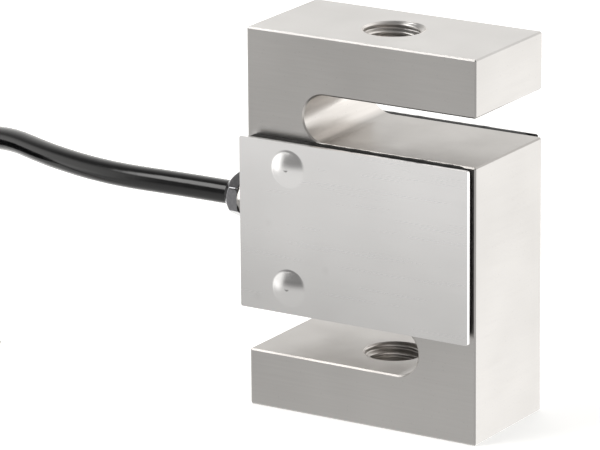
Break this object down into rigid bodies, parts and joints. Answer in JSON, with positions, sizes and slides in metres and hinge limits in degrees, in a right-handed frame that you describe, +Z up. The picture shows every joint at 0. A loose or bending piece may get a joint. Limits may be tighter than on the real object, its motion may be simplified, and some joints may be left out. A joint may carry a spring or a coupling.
{
  "type": "s type load cell",
  "caption": "S shaped steel load cell with threaded holes through both bars, round ended slots, cover sheets on black sealing beads and a gland with a long black cable.",
  "frame": {"origin": "centre of the bottom face, on the load axis through both threaded holes", "axes": "+Z up the load axis, +X to the open end of the upper slot, away from the cable, -Y to the front cover"},
  "size_m": [0.2861, 0.0483, 0.0762],
  "materials": {
    "nickel_plated_steel": "satin, finely milled",
    "cover_sheet": "satin sheet",
    "silicone_bead": "matt black",
    "circuit_board": "satin green",
    "gland_rubber": "matt black",
    "gland_metal": "nickel plated, turned",
    "cable_jacket": "glossy black",
    "crimp_brass": "satin",
    "shrink_sleeve": "satin black",
    "tie_strap": "satin black",
    "tinned_copper": "tinned",
    "insulation_red": "satin red",
    "insulation_white": "satin white",
    "insulation_green": "satin green",
    "insulation_black": "satin black",
    "screw_steel": "zinc plated",
    "gauge_foil": "amber polyimide",
    "resistor_ceramic": "glazed",
    "lead_enamel": "enamelled copper"
  },
  "bodies": {
    "root": {"back_cover": "cover_sheet", "back_seal": "silicone_bead", "board_links": "tinned_copper", "board_screw_back_lower": "screw_steel", "board_screw_back_upper": "screw_steel", "board_screw_front_lower": "screw_steel", "board_screw_front_upper": "screw_steel", "bridge_resistor": "resistor_ceramic", "cable": "cable_jacket", "cable_crimp": "crimp_brass", "cable_hank": "cable_jacket", "cable_inner_end": "cable_jacket", "cable_tail": "cable_jacket", "compensation_board": "circuit_board", "core_black": "insulation_black", "core_green": "insulation_green", "core_red": "insulation_red", "core_white": "insulation_white", "drain_wire": "tinned_copper", "end_sleeve": "shrink_sleeve", "front_cover": "cover_sheet", "front_seal": "silicone_bead", "gauge_leads_lower_left": "lead_enamel", "gauge_leads_lower_right": "lead_enamel", "gauge_leads_upper_left": "lead_enamel", "gauge_leads_upper_right": "lead_enamel", "gland_body": "gland_metal", "gland_nut": "gland_metal", "gland_seal": "gland_rubber", "gland_washer": "gland_rubber", "hank_tie_back": "tie_strap", "hank_tie_front": "tie_strap", "load_cell_body": "nickel_plated_steel", "span_resistor": "resistor_ceramic", "strain_gauge_lower_left": "gauge_foil", "strain_gauge_lower_right": "gauge_foil", "strain_gauge_upper_left": "gauge_foil", "strain_gauge_upper_right": "gauge_foil", "tail_black": "insulation_black", "tail_green": "insulation_green", "tail_red": "insulation_red", "tail_shield": "tinned_copper", "tail_white": "insulation_white", "wiring_board": "circuit_board", "zero_resistor": "resistor_ceramic"}
  },
  "joints": []
}
